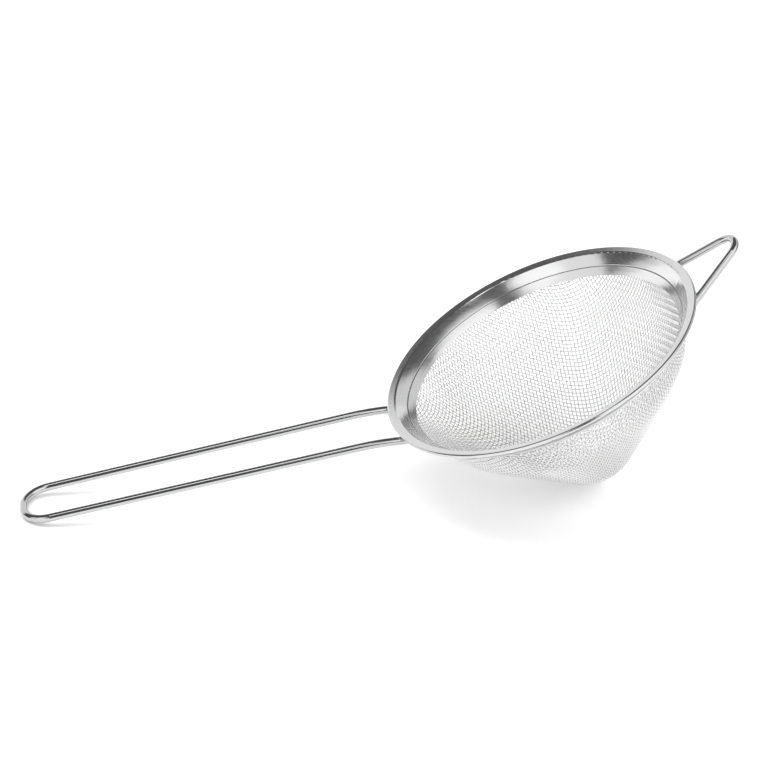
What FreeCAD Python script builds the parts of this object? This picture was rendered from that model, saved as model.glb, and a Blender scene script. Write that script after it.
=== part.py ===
"""Small conical hand strainer: woven wire cone, flanged rim, wire handle, hook.

The strainer is built upright in its own frame: the lip of the rim lies in the
plane Z = 0, the cone hangs below it, the handle runs to -X and the hook to +X.
At the end it is laid down the way it rests on a table, on the tip of the cone
and the end of the handle.
"""
import FreeCAD, Part
import math
import os

V = FreeCAD.Vector
Z_AXIS = V(0, 0, 1)

# Driving dimensions, millimetres and degrees
RIM_R = 42.5            # outside of the lip
LIP_THICK = 1.0         # folded edge, two layers of sheet
LIP_SLOPE = 9.0         # the lip's top falls towards the middle
LIP_ROUND_R = 0.9       # where the lip turns down into the flange
LIP_CORNER = (40.243, -0.272)   # radius and height of that corner before rounding
SHEET = 0.42            # rim sheet
BAND_TOP = (37.7, -3.05)        # crease between flange and clamp band
BAND_FOOT = (36.2, -4.96)
BAND_SHEET = 0.35
FLANGE_BULGE = 0.04     # both faces are slightly convex
BAND_BULGE = 0.02
CREASE_REACH = 0.35     # rounding between the flange and the seat
CREASE_DROP = 0.2       # how far that rounding falls behind the band's face
CREASE_BULGE = 0.05
SEAT_RISE = 0.45        # the seat's back starts this far above the crease
SEAT_LENGTH = 0.75      # and the seat ends this far below it
SEAM_AZIMUTH = -16.0    # where the two ends of the clamp band meet
SEAM_GAP = 0.35
SEAM_DEPTH = (-8.0, 2.0)        # heights between which the seam is cut

WIRE_CLOTH = 0.6        # woven cloth is two wires thick
CLEARANCE = 0.02        # between sheet, cloth and band
MARGIN_START = 0.12     # the clamped margin, from below the crease
MARGIN_SHORT = 0.45     # to above the band's foot
CONE_DEPTH = 43.3       # lip plane to the tip
CONE_HALF_ANGLE = 43.9
WALL_STEPS = 5          # loft sections along the wall arc
CONE_SHARES = (0.33, 0.67)      # and down the straight cone
TIP_ANGLES = (CONE_HALF_ANGLE, 55, 66, 77, 86)  # and round the tip
WALL_ANGLE = 14.0       # slope of the cloth where it leaves the band
TIP_R = 13.8
CONE_SHIFT = 1.1        # the pressed cone sits off centre, towards the hook
SHIFT_DEPTH = 0.22      # share of the depth in which that offset builds up

ROD_R = 1.05            # handle and hook wire
HANDLE_ROOT = (-38.7, 8.4)      # x and half gap where each rod ends
HANDLE_BEND_X = -46.5
HANDLE_END = (-135.0, 7.6)
HANDLE_END_Z = 24.4
HANDLE_SLOPE = 15.5     # rise of the straight part above the rim plane
HANDLE_ROOT_SLOPE = 24.0
HANDLE_BEND_R = 70.0
HANDLE_CORNER_R = 6.6

HOOK_ROOT_X = 38.7
HOOK_RIM = (41.2, 9.6)  # x and half gap where the hook passes under the lip
HOOK_RIM_Z = -2.5
HOOK_TAPER = 24.0       # half angle of the V
HOOK_SLOPE = 17.5
HOOK_TIP_R = 4.4

BEAD_R = 1.0            # weld at each wire end
BEAD_ALONG = 2.5        # down the flange
BEAD_BEHIND = 0.75      # bead centre to the back of the rim sheet


def sin(angle):
    return math.sin(math.radians(angle))


def cos(angle):
    return math.cos(math.radians(angle))


def tan(angle):
    return math.tan(math.radians(angle))


def section_line(start, end):
    """Start, direction and outward direction of a line of the rim's section."""
    start = V(start[0], 0, start[1])
    along = (V(end[0], 0, end[1]) - start).normalize()
    return start, along, V(-along.z, 0, along.x)


FLANGE = section_line(LIP_CORNER, BAND_TOP)
BAND = section_line(BAND_TOP, BAND_FOOT)
FLANGE_LENGTH = math.dist(LIP_CORNER, BAND_TOP)
BAND_LENGTH = math.dist(BAND_TOP, BAND_FOOT)


def on(line, along, out):
    """Point of the rim's section: distance down a line, depth behind it."""
    return line[0] + line[1] * along + line[2] * out


def rounding(before, corner, after, radius):
    """Start, middle and end of the arc that rounds a corner."""
    back, ahead = (before - corner).normalize(), (after - corner).normalize()
    half = math.degrees(back.getAngle(ahead)) / 2
    reach = radius / tan(half)
    middle = corner + (back + ahead).normalize() * (radius / sin(half) - radius)
    return corner + back * reach, middle, corner + ahead * reach


def revolve(points, arcs=None):
    """Ring from a section in the XZ plane; arcs maps an edge to its midpoint."""
    edges = []
    for i, start in enumerate(points):
        end = points[(i + 1) % len(points)]
        if arcs and i in arcs:
            edges.append(Part.Arc(start, arcs[i], end).toShape())
        else:
            edges.append(Part.makeLine(start, end))
    return Part.Face(Part.Wire(edges)).revolve(V(0, 0, 0), Z_AXIS, 360)


def rounded_path(points, radii):
    """Straight runs between the points, with an arc at each inner point."""
    edges, start = [], points[0]
    for before, corner, after, radius in zip(points, points[1:], points[2:], radii):
        arc = rounding(before, corner, after, radius)
        edges.append(Part.makeLine(start, arc[0]))
        edges.append(Part.Arc(*arc).toShape())
        start = arc[2]
    edges.append(Part.makeLine(start, points[-1]))
    return Part.Wire(edges)


def bend_rod(half_points, radii):
    """Rod bent symmetrically about the XZ plane, given its +Y half."""
    points = half_points + [V(p.x, -p.y, p.z) for p in reversed(half_points) if p.y > 0]
    path = rounded_path(points, radii)
    disc = Part.Wire([Part.makeCircle(ROD_R, points[0], points[1] - points[0])])
    return path.makePipeShell([disc], True, False)


def biggest(shape):
    return max(shape.Solids, key=lambda solid: solid.Volume)


# Depths behind the band's face: band, then cloth, then the rim's seat
CLOTH_BACK = BAND_SHEET + CLEARANCE
SEAT = CLOTH_BACK + WIRE_CLOTH + CLEARANCE


def make_rim_ring():
    """Folded lip, conical flange and the stepped seat for the cloth."""
    nose_r = LIP_THICK / 2
    nose = V(RIM_R - nose_r, 0, -nose_r)
    lip_top = nose + V(-sin(LIP_SLOPE), 0, cos(LIP_SLOPE)) * nose_r
    turn = LIP_SLOPE / 2
    nose_middle = nose + V(cos(turn), 0, sin(turn)) * nose_r
    corner = FLANGE[0]
    lip_arc = rounding(lip_top, corner, on(FLANGE, FLANGE_LENGTH, 0), LIP_ROUND_R)
    back_at_hem = (LIP_THICK + corner.z + FLANGE[2].z * SHEET) / -FLANGE[1].z
    back_end = FLANGE_LENGTH - CREASE_REACH - CREASE_DROP
    points = [
        lip_top,
        nose - V(0, 0, nose_r),
        on(FLANGE, back_at_hem, SHEET),
        on(FLANGE, back_end, SHEET),
        on(BAND, -SEAT_RISE, SEAT + SHEET),
        on(BAND, SEAT_LENGTH, SEAT + SHEET),
        on(BAND, SEAT_LENGTH, SEAT),
        on(BAND, 0, SEAT),
        on(BAND, -CREASE_BULGE, CREASE_DROP),
        on(FLANGE, FLANGE_LENGTH - CREASE_REACH, 0),
        lip_arc[2],
        lip_arc[0],
    ]
    crease_middle = (points[8] + points[9]) / 2 - FLANGE[2] * CREASE_BULGE
    flange_middle = (points[9] + points[10]) / 2 - FLANGE[2] * FLANGE_BULGE
    arcs = {0: nose_middle, 8: crease_middle, 9: flange_middle, 10: lip_arc[1]}
    return revolve(points, arcs)


def make_clamp_band():
    """Open ring inside the cloth, its two ends meeting at a seam."""
    bulge = BAND[2] * BAND_BULGE
    top, foot = on(BAND, 2 * CLEARANCE, 0), on(BAND, BAND_LENGTH, 0)
    back_top, back_foot = on(BAND, 2 * CLEARANCE, BAND_SHEET), on(BAND, BAND_LENGTH, BAND_SHEET)
    arcs = {1: (back_top + back_foot) / 2 - bulge, 3: (top + foot) / 2 - bulge}
    ring = revolve([top, back_top, back_foot, foot], arcs)
    low, high = SEAM_DEPTH
    seam = Part.makeBox(RIM_R, SEAM_GAP, high - low, V(0, -SEAM_GAP / 2, low))
    seam.rotate(V(0, 0, 0), Z_AXIS, SEAM_AZIMUTH)
    return biggest(ring.cut(seam))


# Middle of the cloth: margin behind the band, wall arc, cone, round tip
MARGIN_TOP = on(BAND, MARGIN_START, CLOTH_BACK + WIRE_CLOTH / 2)
MARGIN_FOOT = on(BAND, BAND_LENGTH - MARGIN_SHORT, CLOTH_BACK + WIRE_CLOTH / 2)
TIP_CENTRE_Z = -CONE_DEPTH + TIP_R


def wall_arc():
    """Radius and centre of the arc that joins the band's foot to the cone."""
    foot_x = MARGIN_FOOT.x - TIP_R * cos(CONE_HALF_ANGLE)
    foot_z = MARGIN_FOOT.z - TIP_CENTRE_Z + TIP_R * sin(CONE_HALF_ANGLE)
    dx = cos(WALL_ANGLE) - cos(CONE_HALF_ANGLE)
    dz = sin(CONE_HALF_ANGLE) - sin(WALL_ANGLE)
    a, b = sin(CONE_HALF_ANGLE), cos(CONE_HALF_ANGLE)
    radius = (a * foot_z - b * foot_x) / (a * dz - b * dx)
    centre_x = MARGIN_FOOT.x - radius * cos(WALL_ANGLE)
    centre_z = MARGIN_FOOT.z + radius * sin(WALL_ANGLE)
    return radius, centre_x, centre_z


def cloth_sections():
    """(radius, z, slope angle) of the cloth's middle from the band to the tip."""
    radius, centre_x, centre_z = wall_arc()
    sections = []
    for step in range(WALL_STEPS + 1):
        angle = WALL_ANGLE + (CONE_HALF_ANGLE - WALL_ANGLE) * step / WALL_STEPS
        sections.append((centre_x + radius * cos(angle), centre_z - radius * sin(angle), angle))
    cone_top = sections[-1]
    cone_foot = (TIP_R * cos(CONE_HALF_ANGLE), TIP_CENTRE_Z - TIP_R * sin(CONE_HALF_ANGLE))
    for share in CONE_SHARES:
        r = cone_top[0] + (cone_foot[0] - cone_top[0]) * share
        z = cone_top[1] + (cone_foot[1] - cone_top[1]) * share
        sections.append((r, z, CONE_HALF_ANGLE))
    for angle in TIP_ANGLES:
        sections.append((TIP_R * cos(angle), TIP_CENTRE_Z - TIP_R * sin(angle), angle))
    return sections


def cone_offset(z):
    """Sideways offset of the cone at height z."""
    share = (MARGIN_FOOT.z - z) / (CONE_DEPTH + MARGIN_FOOT.z) / SHIFT_DEPTH
    share = min(1.0, max(0.0, share))
    return CONE_SHIFT * share * share * (3 - 2 * share)


def cloth_skin(out):
    """Solid cone bounded by the cloth's middle moved outwards by out."""
    circles = []
    for r, z, angle in cloth_sections():
        centre = V(cone_offset(z), 0, z - out * sin(angle))
        circles.append(Part.Wire([Part.makeCircle(r + out * cos(angle), centre, Z_AXIS)]))
    return Part.makeLoft(circles, True, False)


def make_mesh_cone():
    """Woven cloth as a thin shell, with its margin clamped under the rim."""
    half = WIRE_CLOTH / 2
    foot_out = V(cos(WALL_ANGLE), 0, -sin(WALL_ANGLE)) * half
    margin = revolve([
        MARGIN_TOP - BAND[2] * half,
        MARGIN_TOP + BAND[2] * half,
        MARGIN_FOOT + foot_out,
        MARGIN_FOOT - foot_out,
    ])
    inner = cloth_skin(-half)
    lid_foot = V(0, 0, MARGIN_FOOT.z + half * sin(WALL_ANGLE))
    lid = Part.makeCylinder(RIM_R, -MARGIN_FOOT.z, lid_foot)
    shell = cloth_skin(half).cut(inner).cut(lid)
    return biggest(shell.fuse(margin).removeSplitter())


def handle_points():
    """Root, bend near the rim and far corner of the handle's +Y rod."""
    root_x, root_gap = HANDLE_ROOT
    end_x, end_gap = HANDLE_END
    bend_z = HANDLE_END_Z - tan(HANDLE_SLOPE) * (HANDLE_BEND_X - end_x)
    root_z = bend_z - tan(HANDLE_ROOT_SLOPE) * (root_x - HANDLE_BEND_X)
    bend_share = (HANDLE_BEND_X - root_x) / (end_x - root_x)
    bend_gap = root_gap + (end_gap - root_gap) * bend_share
    return [
        V(root_x, root_gap, root_z),
        V(HANDLE_BEND_X, bend_gap, bend_z),
        V(end_x, end_gap, HANDLE_END_Z),
    ]


def hook_points():
    """Root of the hook's +Y side and the point where its two sides would meet."""
    rim_x, rim_gap = HOOK_RIM
    root_gap = rim_gap + (rim_x - HOOK_ROOT_X) * tan(HOOK_TAPER)
    root_z = HOOK_RIM_Z - (rim_x - HOOK_ROOT_X) * tan(HOOK_SLOPE)
    apex_run = rim_gap / tan(HOOK_TAPER)
    return [
        V(HOOK_ROOT_X, root_gap, root_z),
        V(rim_x + apex_run, 0, HOOK_RIM_Z + apex_run * tan(HOOK_SLOPE)),
    ]


def make_weld_beads():
    """Bead between each wire end and the back of the flange, fused into both."""
    beads = []
    for root in (handle_points()[0], hook_points()[0]):
        for side in (1, -1):
            azimuth = math.degrees(math.atan2(side * root.y, root.x))
            bead = Part.makeSphere(BEAD_R, on(FLANGE, BEAD_ALONG, SHEET + BEAD_BEHIND))
            bead.rotate(V(0, 0, 0), Z_AXIS, azimuth)
            beads.append(bead)
    return beads


def lay_down(nodes):
    """Rest the strainer on its tip and on the end of its handle."""
    tip_r = TIP_R + WIRE_CLOTH / 2
    run = CONE_SHIFT - HANDLE_END[0]
    rise = HANDLE_END_Z - TIP_CENTRE_Z
    tilt = math.atan2(rise, run) + math.asin((tip_r - ROD_R) / math.hypot(run, rise))
    for shape in nodes.values():
        shape.rotate(V(0, 0, 0), V(0, 1, 0), -math.degrees(tilt))
    box = Part.makeCompound(list(nodes.values())).optimalBoundingBox(False, False)
    for shape in nodes.values():
        shape.translate(V(-box.Center.x, -box.Center.y, -box.ZMin))


handle_radii = [HANDLE_BEND_R, HANDLE_CORNER_R, HANDLE_CORNER_R, HANDLE_BEND_R]

nodes = {
    "rim_ring": make_rim_ring(),
    "clamp_band": make_clamp_band(),
    "mesh_cone": make_mesh_cone(),
    "handle_wire": bend_rod(handle_points(), handle_radii),
    "hook_wire": bend_rod(hook_points(), [HOOK_TIP_R]),
    "weld_beads": Part.makeCompound(make_weld_beads()),
}
lay_down(nodes)

os.makedirs("parts", exist_ok=True)
for name, shape in nodes.items():
    shape.exportStep("parts/%s.step" % name)
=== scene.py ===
"""Conical mesh strainer: woven wire cloth, steel materials, light and camera."""
import math

import bpy
import numpy as np
from mathutils import Matrix, Vector


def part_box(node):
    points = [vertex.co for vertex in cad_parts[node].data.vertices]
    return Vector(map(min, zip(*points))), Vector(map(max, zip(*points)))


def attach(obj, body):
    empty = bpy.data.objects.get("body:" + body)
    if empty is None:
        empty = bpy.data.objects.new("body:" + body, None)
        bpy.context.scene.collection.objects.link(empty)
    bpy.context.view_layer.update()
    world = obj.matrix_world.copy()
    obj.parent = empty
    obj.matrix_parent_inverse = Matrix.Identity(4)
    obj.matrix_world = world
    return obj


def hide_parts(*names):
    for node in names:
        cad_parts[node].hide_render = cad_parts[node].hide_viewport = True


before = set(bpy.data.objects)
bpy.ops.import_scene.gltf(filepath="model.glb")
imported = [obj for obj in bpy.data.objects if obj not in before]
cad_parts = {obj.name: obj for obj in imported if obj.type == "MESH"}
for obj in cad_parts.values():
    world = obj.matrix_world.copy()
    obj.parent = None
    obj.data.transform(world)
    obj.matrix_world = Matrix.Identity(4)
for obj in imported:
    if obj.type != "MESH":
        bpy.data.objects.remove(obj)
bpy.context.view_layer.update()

# ---------------------------------------------------------------- strainer frame
# The strainer's own frame: lip plane Z = 0, cone below, handle -X, hook +X, mm.
TILT = math.radians(26.7198)
RIM_NOSE_R = 42.0       # centre of the lip's rounded edge
RIM_NOSE_HALF = 0.5     # its radius

rim_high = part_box("rim_ring")[1]
LIP_CENTRE = np.array([
    rim_high[0] - (RIM_NOSE_R * math.cos(TILT) + RIM_NOSE_HALF * (1 + math.sin(TILT))) / 1000,
    0.0,
    rim_high[2] - (RIM_NOSE_R * math.sin(TILT) + RIM_NOSE_HALF * (1 - math.cos(TILT))) / 1000,
])
TURN = np.array([
    [math.cos(TILT), 0.0, -math.sin(TILT)],
    [0.0, 1.0, 0.0],
    [math.sin(TILT), 0.0, math.cos(TILT)],
])


def to_row(points_mm):
    """Points in the strainer's own frame, mm, to the row frame, metres."""
    return np.asarray(points_mm, float) @ TURN.T / 1000 + LIP_CENTRE


def turned(direction):
    """Direction in the strainer's own frame to the row frame."""
    return Vector(TURN @ np.asarray(direction, float)).normalized()


# ---------------------------------------------------------------- cloth surface
CONE_DEPTH = 43.3       # from the lip plane to the tip
CONE_HALF_ANGLE = math.radians(43.9)    # slope off the axis where the tip's sphere ends
WALL_ANGLE = math.radians(14.0)         # slope off the axis at the margin
TIP_R = 13.8
TIP_CENTRE_Z = TIP_R - CONE_DEPTH
CONE_SHIFT = 1.1        # the cone sits this far towards the hook
SHIFT_DEPTH = 0.22      # share of the depth over which that shift grows
MARGIN_FOOT = np.array([37.005, -5.02])     # radius and height
MARGIN_TOP = np.array([38.153, -3.558])
PAST_MARGIN = (0.65, 0.76)      # way out and up that the cloth would go on
TIP_POINTS, WALL_POINTS, MARGIN_POINTS = 60, 80, 20
PROFILE_POINTS = 1200
SMOOTH_HALF = 15        # profile points on each side that smooth a joint

WIRE_R = 0.15           # cloth wire, 0.3 mm thick
PITCH = 1.06            # 24 wires to the inch
NET_AZIMUTH = math.radians(-22.0)
NET_REACH = 1.5         # half width of the net, in slant lengths of the cloth
STEPS = 4               # tube sections per crossing
SIDES = 6
END_CAPS = ((0, 1, 2, 3), (0, 3, 4, 5))     # two quads that close a six-sided end
LEAST_CROSSINGS = 3     # a shorter wire is left out
QUARTER_TURNS = ((1, 0, 0, 1), (0, -1, 1, 0), (-1, 0, 0, -1), (0, 1, -1, 0))

# The net's solver and the normals, mm
NORMAL_STEP = 0.02
MEET_ROUNDS = 12
MEET_STEP = 0.01
MEET_LIMIT = 0.4        # farthest move in one round


def cloth_profile():
    """Arc length, radius and height down the cloth, from the tip to the margin."""
    cone_foot = np.array([
        TIP_R * math.cos(CONE_HALF_ANGLE),
        TIP_CENTRE_Z - TIP_R * math.sin(CONE_HALF_ANGLE),
    ])
    # The wall is one arc that meets the tip's sphere and the margin at their slopes
    run = MARGIN_FOOT - cone_foot
    a, b = math.sin(CONE_HALF_ANGLE), math.cos(CONE_HALF_ANGLE)
    dx = math.cos(WALL_ANGLE) - b
    dz = a - math.sin(WALL_ANGLE)
    wall_r = (a * run[1] - b * run[0]) / (a * dz - b * dx)
    centre = MARGIN_FOOT + wall_r * np.array([-math.cos(WALL_ANGLE), math.sin(WALL_ANGLE)])
    tip = np.linspace(math.pi / 2, CONE_HALF_ANGLE, TIP_POINTS)
    wall = np.linspace(CONE_HALF_ANGLE, WALL_ANGLE, WALL_POINTS)
    share = np.linspace(0, 1, MARGIN_POINTS)[:, None]
    points = np.vstack([
        np.column_stack([TIP_R * np.cos(tip), TIP_CENTRE_Z - TIP_R * np.sin(tip)]),
        np.column_stack([centre[0] + wall_r * np.cos(wall), centre[1] - wall_r * np.sin(wall)]),
        MARGIN_FOOT + (MARGIN_TOP - MARGIN_FOOT) * share[1:],
    ])
    length = np.concatenate([[0], np.cumsum(np.linalg.norm(np.diff(points, axis=0), axis=1))])
    even = np.linspace(0, length[-1], PROFILE_POINTS)
    r = np.interp(even, length, points[:, 0])
    z = np.interp(even, length, points[:, 1])
    window = np.hanning(2 * SMOOTH_HALF + 1)
    window /= window.sum()
    for values in (r, z):
        before = 2 * values[0] - values[SMOOTH_HALF:0:-1]
        after = 2 * values[-1] - values[-2:-SMOOTH_HALF - 2:-1]
        values[:] = np.convolve(np.concatenate([before, values, after]), window, "valid")
    r[0] = 0.0
    return even, r, z


PROFILE_S, PROFILE_R, PROFILE_Z = cloth_profile()
CLOTH_END = PROFILE_S[-1]


def cloth_point(uv):
    """Point of the cloth for a polar position: distance from the tip, azimuth."""
    s = np.hypot(uv[:, 0], uv[:, 1])
    azimuth = np.arctan2(uv[:, 1], uv[:, 0])
    r = np.interp(s, PROFILE_S, PROFILE_R)
    z = np.interp(s, PROFILE_S, PROFILE_Z)
    past = np.maximum(0, s - CLOTH_END)
    r = r + past * PAST_MARGIN[0]
    z = z + past * PAST_MARGIN[1]
    share = np.clip((MARGIN_FOOT[1] - z) / (CONE_DEPTH + MARGIN_FOOT[1]) / SHIFT_DEPTH, 0, 1)
    offset = CONE_SHIFT * share * share * (3 - 2 * share)
    return np.column_stack([offset + r * np.cos(azimuth), r * np.sin(azimuth), z])


def cloth_normal(uv):
    """Outward normal of the cloth."""
    du = cloth_point(uv + [NORMAL_STEP, 0]) - cloth_point(uv - [NORMAL_STEP, 0])
    dv = cloth_point(uv + [0, NORMAL_STEP]) - cloth_point(uv - [0, NORMAL_STEP])
    normal = np.cross(dv, du)
    return normal / np.linalg.norm(normal, axis=1, keepdims=True)


def meet(a, b, guess):
    """Positions on the cloth one pitch from both a and b, near guess."""
    uv = guess.copy()
    for _ in range(MEET_ROUNDS):
        point = cloth_point(uv)
        miss = np.stack([
            np.linalg.norm(point - a, axis=1) - PITCH,
            np.linalg.norm(point - b, axis=1) - PITCH,
        ], 1)
        jacobian = np.empty((len(uv), 2, 2))
        for k, step in enumerate(([MEET_STEP, 0], [0, MEET_STEP])):
            moved = cloth_point(uv + step)
            for row, end in enumerate((a, b)):
                change = np.linalg.norm(moved - end, axis=1) - PITCH - miss[:, row]
                jacobian[:, row, k] = change / MEET_STEP
        fix = np.linalg.solve(jacobian + 1e-9 * np.eye(2), miss[:, :, None])[:, :, 0]
        uv -= np.clip(fix, -MEET_LIMIT, MEET_LIMIT)
    return uv


def cloth_net():
    """Crossings of the cloth: a square net drawn over the cone without stretch."""
    reach = int(CLOTH_END * NET_REACH / PITCH)
    net = np.full((2 * reach + 1, 2 * reach + 1, 2), np.nan)
    line = np.arange(reach + 1) * PITCH
    for quadrant in range(4):
        first = NET_AZIMUTH + quadrant * math.pi / 2
        second = first + math.pi / 2
        part = np.full((reach + 1, reach + 1, 2), np.nan)
        part[:, 0] = line[:, None] * [math.cos(first), math.sin(first)]
        part[0, :] = line[:, None] * [math.cos(second), math.sin(second)]
        part[line > CLOTH_END + PITCH, 0] = np.nan
        part[0, line > CLOTH_END + PITCH] = np.nan
        for total in range(2, 2 * reach):
            i = np.arange(max(1, total - reach), min(reach, total - 1) + 1)
            j = total - i
            near, left, right = part[i - 1, j - 1], part[i - 1, j], part[i, j - 1]
            ok = np.isfinite(left[:, 0]) & np.isfinite(right[:, 0])
            if not ok.any():
                continue
            i, j, near, left, right = i[ok], j[ok], near[ok], left[ok], right[ok]
            found = meet(cloth_point(left), cloth_point(right), left + right - near)
            found[np.hypot(found[:, 0], found[:, 1]) > CLOTH_END + PITCH] = np.nan
            part[i, j] = found
        turn = QUARTER_TURNS[quadrant]
        ii, jj = np.meshgrid(np.arange(reach + 1), np.arange(reach + 1), indexing="ij")
        gi = turn[0] * ii + turn[1] * jj + reach
        gj = turn[2] * ii + turn[3] * jj + reach
        net[gi, gj] = part
    return net, reach


def tube(points, normals, radius):
    """Vertices and faces of a round wire along points, closed at both ends."""
    tangent = np.gradient(points, axis=0)
    tangent /= np.linalg.norm(tangent, axis=1, keepdims=True)
    side = np.cross(tangent, normals)
    side /= np.linalg.norm(side, axis=1, keepdims=True)
    up = np.cross(side, tangent)
    angles = np.arange(SIDES) * 2 * math.pi / SIDES
    rings = points[:, None] + radius * (
        np.cos(angles)[None, :, None] * up[:, None] + np.sin(angles)[None, :, None] * side[:, None]
    )
    count = len(points)
    first = np.arange(count - 1)[:, None] * SIDES
    k = np.arange(SIDES)[None, :]
    k1 = (k + 1) % SIDES
    quads = np.stack([first + k, first + SIDES + k, first + SIDES + k1, first + k1], -1)
    start = np.array(END_CAPS)
    end = start[:, ::-1] + (count - 1) * SIDES
    return rings.reshape(-1, 3), np.vstack([quads.reshape(-1, 4), start, end])


def wire_path(uv, sign):
    """Centre line of one cloth wire that passes over and under its neighbours."""
    count = len(uv)
    t = np.arange((count - 1) * STEPS + 1) / STEPS
    knots = np.arange(count)
    padded = np.vstack([2 * uv[0] - uv[1], uv, 2 * uv[-1] - uv[-2]])
    i = np.minimum(t.astype(int), count - 2)
    f = (t - i)[:, None]
    p0, p1, p2, p3 = padded[i], padded[i + 1], padded[i + 2], padded[i + 3]
    # Catmull-Rom curve through the crossings
    smooth = 0.5 * (2 * p1 + (p2 - p0) * f + (2 * p0 - 5 * p1 + 4 * p2 - p3) * f ** 2
                    + (3 * p1 - p0 - 3 * p2 + p3) * f ** 3)
    normal = cloth_normal(smooth)
    wave = np.cos(math.pi * t) * sign * WIRE_R
    return cloth_point(smooth) + normal * wave[:, None], normal


def make_mesh(name, vertices, quads, material):
    mesh = bpy.data.meshes.new(name)
    mesh.vertices.add(len(vertices))
    mesh.vertices.foreach_set("co", to_row(vertices).ravel())
    mesh.loops.add(quads.size)
    mesh.loops.foreach_set("vertex_index", quads.ravel().astype(np.int32))
    mesh.polygons.add(len(quads))
    mesh.polygons.foreach_set("loop_start", np.arange(len(quads), dtype=np.int32) * 4)
    mesh.polygons.foreach_set("use_smooth", np.ones(len(quads), dtype=bool))
    mesh.update(calc_edges=True)
    mesh.validate()
    mesh.materials.append(material)
    obj = bpy.data.objects.new(name, mesh)
    bpy.context.scene.collection.objects.link(obj)
    return obj


def make_cloth(material):
    """The woven cone, as two sets of crossing wires, each in two halves."""
    net, reach = cloth_net()
    inside = np.hypot(net[..., 0], net[..., 1]) <= CLOTH_END
    pieces = {}
    for family in (0, 1):
        grid = net if family == 0 else net.transpose(1, 0, 2)
        valid = inside if family == 0 else inside.T
        for row in range(2 * reach + 1):
            where = np.flatnonzero(valid[:, row])
            if len(where) < LEAST_CROSSINGS:
                continue
            where = np.arange(where[0], where[-1] + 1)
            uv = grid[where, row]
            if not np.isfinite(uv).all():
                continue
            over = (-1) ** (where[0] + row) * (1 if family == 0 else -1)
            points, normals = wire_path(uv, over)
            half = "a" if row < reach else "b"
            name = "cloth_%s_%s" % ("warp" if family == 0 else "weft", half)
            pieces.setdefault(name, []).append(tube(points, normals, WIRE_R))
    objects = []
    for name, tubes in pieces.items():
        starts = np.cumsum([0] + [len(v) for v, _ in tubes[:-1]])
        vertices = np.vstack([v for v, _ in tubes])
        quads = np.vstack([q + start for (_, q), start in zip(tubes, starts)])
        objects.append(make_mesh(name, vertices, quads, material))
    return objects


# ---------------------------------------------------------------- materials
FINE_GRAIN = (900, 900, 900)    # noise cells to the metre along the row frame's axes
GRAIN_DETAIL = 4.0
CLOUD_SCALE = 60.0              # slow changes of tone over the steel
TONE = (0.94, 1.04)
SMOOTHEST = 0.02                # least roughness
RELIEF = 0.00002                # depth of the grain, m


def steel(name, color, roughness, grain=(), bump=0.0, spread=0.06):
    """Steel with a drawn or spun grain: stretched noise in roughness and bump."""
    material = bpy.data.materials.new(name)
    material.use_nodes = True
    nodes, links = material.node_tree.nodes, material.node_tree.links
    shader = nodes["Principled BSDF"]
    shader.inputs["Metallic"].default_value = 1.0
    where = nodes.new("ShaderNodeTexCoord")
    mapping = nodes.new("ShaderNodeMapping")
    links.new(where.outputs["Object"], mapping.inputs["Vector"])
    mapping.inputs["Rotation"].default_value = (0, TILT, 0)
    mapping.inputs["Scale"].default_value = grain or FINE_GRAIN
    noise = nodes.new("ShaderNodeTexNoise")
    noise.inputs["Scale"].default_value = 1.0
    noise.inputs["Detail"].default_value = GRAIN_DETAIL
    links.new(mapping.outputs["Vector"], noise.inputs["Vector"])
    rough = nodes.new("ShaderNodeMapRange")
    rough.inputs["To Min"].default_value = max(SMOOTHEST, roughness - spread)
    rough.inputs["To Max"].default_value = roughness + spread
    links.new(noise.outputs["Fac"], rough.inputs["Value"])
    links.new(rough.outputs["Result"], shader.inputs["Roughness"])
    tone = nodes.new("ShaderNodeMapRange")
    tone.inputs["To Min"].default_value = TONE[0]
    tone.inputs["To Max"].default_value = TONE[1]
    cloud = nodes.new("ShaderNodeTexNoise")
    cloud.inputs["Scale"].default_value = CLOUD_SCALE
    links.new(where.outputs["Object"], cloud.inputs["Vector"])
    links.new(cloud.outputs["Fac"], tone.inputs["Value"])
    tint = nodes.new("ShaderNodeMix")
    tint.data_type = "RGBA"
    tint.blend_type = "MULTIPLY"
    tint.inputs["Factor"].default_value = 1.0
    tint.inputs["A"].default_value = (*color, 1)
    links.new(tone.outputs["Result"], tint.inputs["B"])
    links.new(tint.outputs["Result"], shader.inputs["Base Color"])
    if bump:
        relief = nodes.new("ShaderNodeBump")
        relief.inputs["Strength"].default_value = bump
        relief.inputs["Distance"].default_value = RELIEF
        links.new(noise.outputs["Fac"], relief.inputs["Height"])
        links.new(relief.outputs["Normal"], shader.inputs["Normal"])
    return material


# Streaks lie level in the row frame on the sheet, and along its X on the rods
SPUN_GRAIN = (300, 300, 2500)
DRAWN_GRAIN = (120, 2500, 2500)
rim_steel = steel("rim_steel", (0.62, 0.62, 0.625), 0.16, SPUN_GRAIN, bump=0.15)
band_steel = steel("band_steel", (0.62, 0.62, 0.625), 0.18, SPUN_GRAIN, bump=0.15)
# The rods' steel is darker than the sheet's, 0.5 against 0.62: painted shade that dims the bright
# floor mirrored in them.
rod_steel = steel("rod_steel", (0.5, 0.5, 0.505), 0.06, DRAWN_GRAIN, bump=0.02, spread=0.02)
# The cloth's steel is lighter than the sheet's, 0.8 against 0.62: painted light that brightens the
# wires.
cloth_steel = steel("cloth_steel", (0.8, 0.8, 0.8), 0.07)
weld_steel = steel("weld_steel", (0.4, 0.38, 0.36), 0.45)

for node, material in (
    ("rim_ring", rim_steel),
    ("clamp_band", band_steel),
    ("handle_wire", rod_steel),
    ("hook_wire", rod_steel),
    ("weld_beads", weld_steel),
):
    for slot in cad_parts[node].material_slots:
        slot.material = material

for piece in make_cloth(cloth_steel):
    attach(piece, "root")
    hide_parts("mesh_cone")

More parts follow.
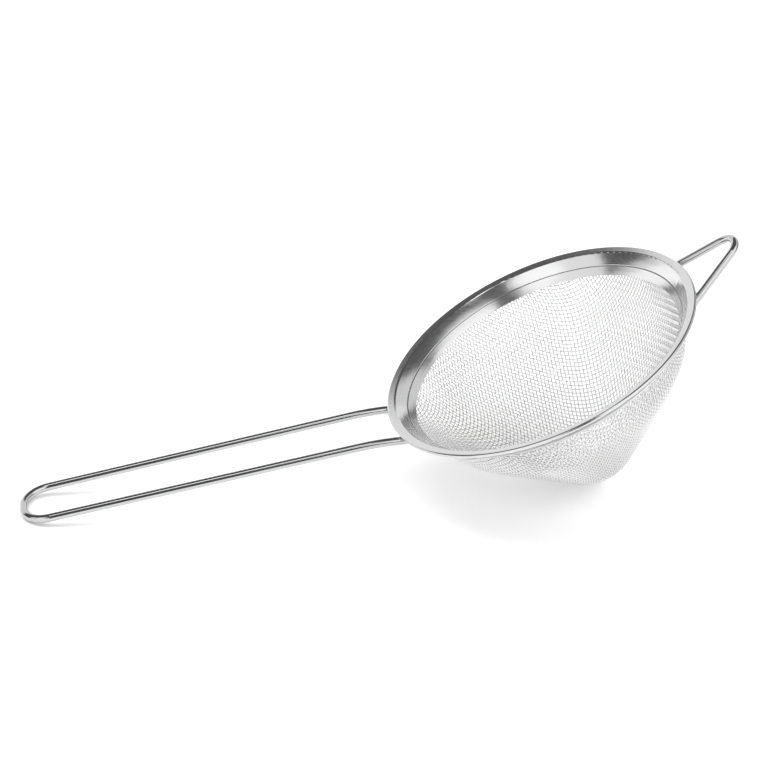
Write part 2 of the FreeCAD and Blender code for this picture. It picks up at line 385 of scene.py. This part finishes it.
# ---------------------------------------------------------------- floor and light
FLOOR_HALF = 0.8
PAPER_WHITE = (0.93, 0.93, 0.93, 1)
PAPER_ROUGHNESS = 0.9

floor_mesh = bpy.data.meshes.new("floor")
corners = [(FLOOR_HALF * x, FLOOR_HALF * y, 0) for x, y in ((-1, -1), (1, -1), (1, 1), (-1, 1))]
floor_mesh.from_pydata(corners, [], [(0, 1, 2, 3)])
floor = bpy.data.objects.new("floor", floor_mesh)
bpy.context.scene.collection.objects.link(floor)
paper = bpy.data.materials.new("paper")
paper.use_nodes = True
paper_shader = paper.node_tree.nodes["Principled BSDF"]
paper_shader.inputs["Base Color"].default_value = PAPER_WHITE
paper_shader.inputs["Roughness"].default_value = PAPER_ROUGHNESS
floor_mesh.materials.append(paper)

world = bpy.data.worlds.new("studio")
bpy.context.scene.world = world
world.use_nodes = True
nodes, links = world.node_tree.nodes, world.node_tree.links
background = nodes["Background"]
background.inputs["Strength"].default_value = 1.0
direction = nodes.new("ShaderNodeTexCoord")


def math_node(operation, a, b):
    """Output of a world Math node; a and b are numbers or sockets."""
    node = nodes.new("ShaderNodeMath")
    node.operation = operation
    for socket, value in zip(node.inputs, (a, b)):
        if isinstance(value, float):
            socket.default_value = value
        else:
            links.new(value, socket)
    return node.outputs["Value"]


def along(axis):
    """How far the ray's direction goes along an axis, as a socket."""
    node = nodes.new("ShaderNodeVectorMath")
    node.operation = "DOT_PRODUCT"
    node.inputs[1].default_value = axis
    links.new(direction.outputs["Generated"], node.inputs[0])
    return node.outputs["Value"]


def panel(azimuth, elevation, half_width, half_height, soft, level):
    """A soft-edged lit rectangle of the studio, seen in a direction, degrees."""
    a, e = math.radians(azimuth), math.radians(elevation)
    centre = Vector((math.sin(a) * math.cos(e), math.cos(a) * math.cos(e), math.sin(e)))
    side = Vector((math.cos(a), -math.sin(a), 0))
    rise = side.cross(centre)
    ahead = math_node("MAXIMUM", along(centre), 0.001)
    shade = None
    for axis, half in ((side, half_width), (rise, half_height)):
        off = math_node("ABSOLUTE", math_node("DIVIDE", along(axis), ahead), 0.0)
        ramp = nodes.new("ShaderNodeMapRange")
        ramp.interpolation_type = "SMOOTHSTEP"
        ramp.inputs["From Min"].default_value = math.tan(math.radians(half + soft / 2))
        ramp.inputs["From Max"].default_value = math.tan(math.radians(max(0.5, half - soft / 2)))
        ramp.inputs["To Min"].default_value = 0.0
        ramp.inputs["To Max"].default_value = 1.0
        links.new(off, ramp.inputs["Value"])
        edge = ramp.outputs["Result"]
        shade = edge if shade is None else math_node("MULTIPLY", shade, edge)
    return math_node("MULTIPLY", shade, level)


# The studio beyond the paper: bright to the horizon, and dark between the panels
DARK = 0.13
GROUND = 0.95
DARK_FROM, GROUND_TO = 0.05, 0.02   # height of the ray's direction
horizon = nodes.new("ShaderNodeMapRange")
horizon.inputs["From Min"].default_value = DARK_FROM
horizon.inputs["From Max"].default_value = GROUND_TO
horizon.inputs["To Min"].default_value = DARK
horizon.inputs["To Max"].default_value = GROUND
links.new(along((0, 0, 1)), horizon.inputs["Value"])
studio = horizon.outputs["Result"]
# azimuth from +Y towards +X, elevation, half width, half height, soft edge, level
PANELS = (
    (-5, 8, 51, 26, 7, 1.15),       # backdrop
    (88, 36, 48, 17.5, 5, 0.95),    # right wall
    (140, 40, 34, 25.5, 4, 1.55),   # front right light
    (-120, 22, 27, 20, 4, 1.15),    # left wall
    (-128, 36, 14, 14, 8, 1.55),    # front left light
    (-143, 71, 9, 5.5, 3, 2.6),     # overhead light
    (142, 8, 26, 13, 8, 1.3),       # low fill, front right
    (-142, 8, 22, 13, 8, 1.5),      # low fill, front left
)
for spec in PANELS:
    studio = math_node("MAXIMUM", studio, panel(*spec))
# Behind the paper the camera sees plain white; the steel mirrors the studio
seen = nodes.new("ShaderNodeLightPath")
choose = nodes.new("ShaderNodeMix")
choose.data_type = "FLOAT"
links.new(seen.outputs["Is Camera Ray"], choose.inputs["Factor"])
links.new(studio, choose.inputs["A"])
choose.inputs["B"].default_value = 1.0
links.new(choose.outputs["Result"], background.inputs["Color"])


def softbox(name, place, aim, width, power):
    """Lamp for the floor; the steel mirrors the studio's panels instead."""
    light = bpy.data.lights.new(name, "AREA")
    light.shape = "DISK"
    light.size = width
    light.energy = power
    obj = bpy.data.objects.new(name, light)
    obj.location = place
    obj.rotation_euler = (Vector(aim) - Vector(place)).to_track_quat("-Z", "Y").to_euler()
    obj.visible_glossy = False
    bpy.context.scene.collection.objects.link(obj)


LAMP_AIM = (0, 0.1, 0)
softbox("overhead", (-0.25, 0.2, 1.4), LAMP_AIM, 1.5, 10.0)
softbox("left", (-0.8, 0.2, 1.0), LAMP_AIM, 1.0, 8.0)
softbox("right", (0.8, 0.0, 1.0), LAMP_AIM, 1.0, 4.0)

# ---------------------------------------------------------------- camera
# Place and directions in the strainer's own frame, fitted to the photo's outlines
CAMERA_PLACE = (-8.2, -443.0, 259.3)
CAMERA_RIGHT = (0.894, -0.169, -0.415)
CAMERA_AHEAD = (-0.062, 0.871, -0.487)

camera = bpy.data.cameras.new("camera")
camera.sensor_width = 36.0
camera.lens = 94.74
camera.clip_start = 0.01
view = bpy.data.objects.new("camera", camera)
ahead = turned(CAMERA_AHEAD)
up = turned(CAMERA_RIGHT).cross(ahead).normalized()
right = ahead.cross(up).normalized()
spot = Vector(to_row(CAMERA_PLACE))
view.matrix_world = Matrix((
    (right.x, up.x, -ahead.x, spot.x),
    (right.y, up.y, -ahead.y, spot.y),
    (right.z, up.z, -ahead.z, spot.z),
    (0, 0, 0, 1),
))
bpy.context.scene.collection.objects.link(view)
bpy.context.scene.camera = view
bpy.context.scene.view_settings.view_transform = "Standard"
